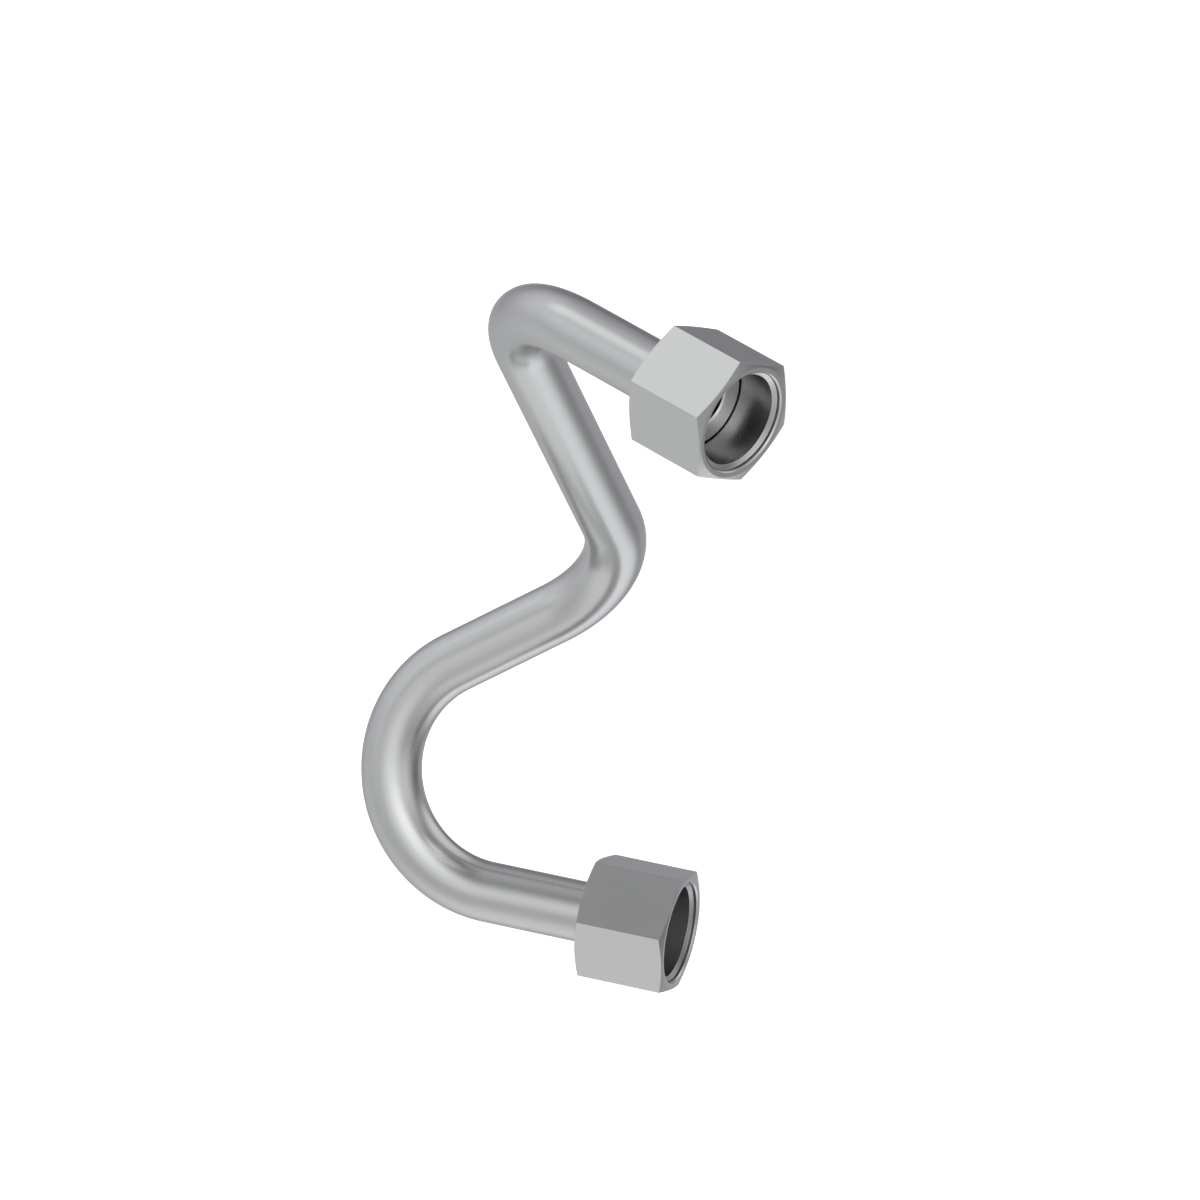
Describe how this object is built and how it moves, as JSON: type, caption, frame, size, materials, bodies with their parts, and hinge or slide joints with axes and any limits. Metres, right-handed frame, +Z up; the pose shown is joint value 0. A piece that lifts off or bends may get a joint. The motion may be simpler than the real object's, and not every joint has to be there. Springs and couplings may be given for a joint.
{
  "type": "bent tube assembly",
  "caption": "Bent steel tube with a tight first bend and a swivelling hexagonal union nut on a flat-faced collar at each end.",
  "frame": {"origin": "under the middle of the assembly's box, on the surface that it lies on", "axes": "+Z up; +X horizontal, from the sealing face at the hairpin end to the one at the elbow end; +Y horizontal, away from the mouths of the nuts"},
  "size_m": [0.154, 0.063, 0.0464],
  "materials": {
    "tube": "satin drawn steel tube",
    "collar": "turned steel, satin",
    "nut": "turned hexagon bar, satin"
  },
  "bodies": {
    "tube": {"bent_tube": "tube", "hairpin_collar": "collar", "elbow_collar": "collar"},
    "hairpin_nut": {"hairpin_nut": "nut"},
    "elbow_nut": {"elbow_nut": "nut"}
  },
  "joints": [
    {"name": "hairpin_nut_spin", "type": "hinge", "parent": "tube", "child": "hairpin_nut", "pos_m": [-0.06528, -0.01851, 0.0121], "axis": [0.166, -0.6311, -0.7578], "continuous": true},
    {"name": "elbow_nut_spin", "type": "hinge", "parent": "tube", "child": "elbow_nut", "pos_m": [0.06468, -0.01851, 0.01185], "axis": [0.2355, -0.8822, -0.4077], "continuous": true}
  ]
}
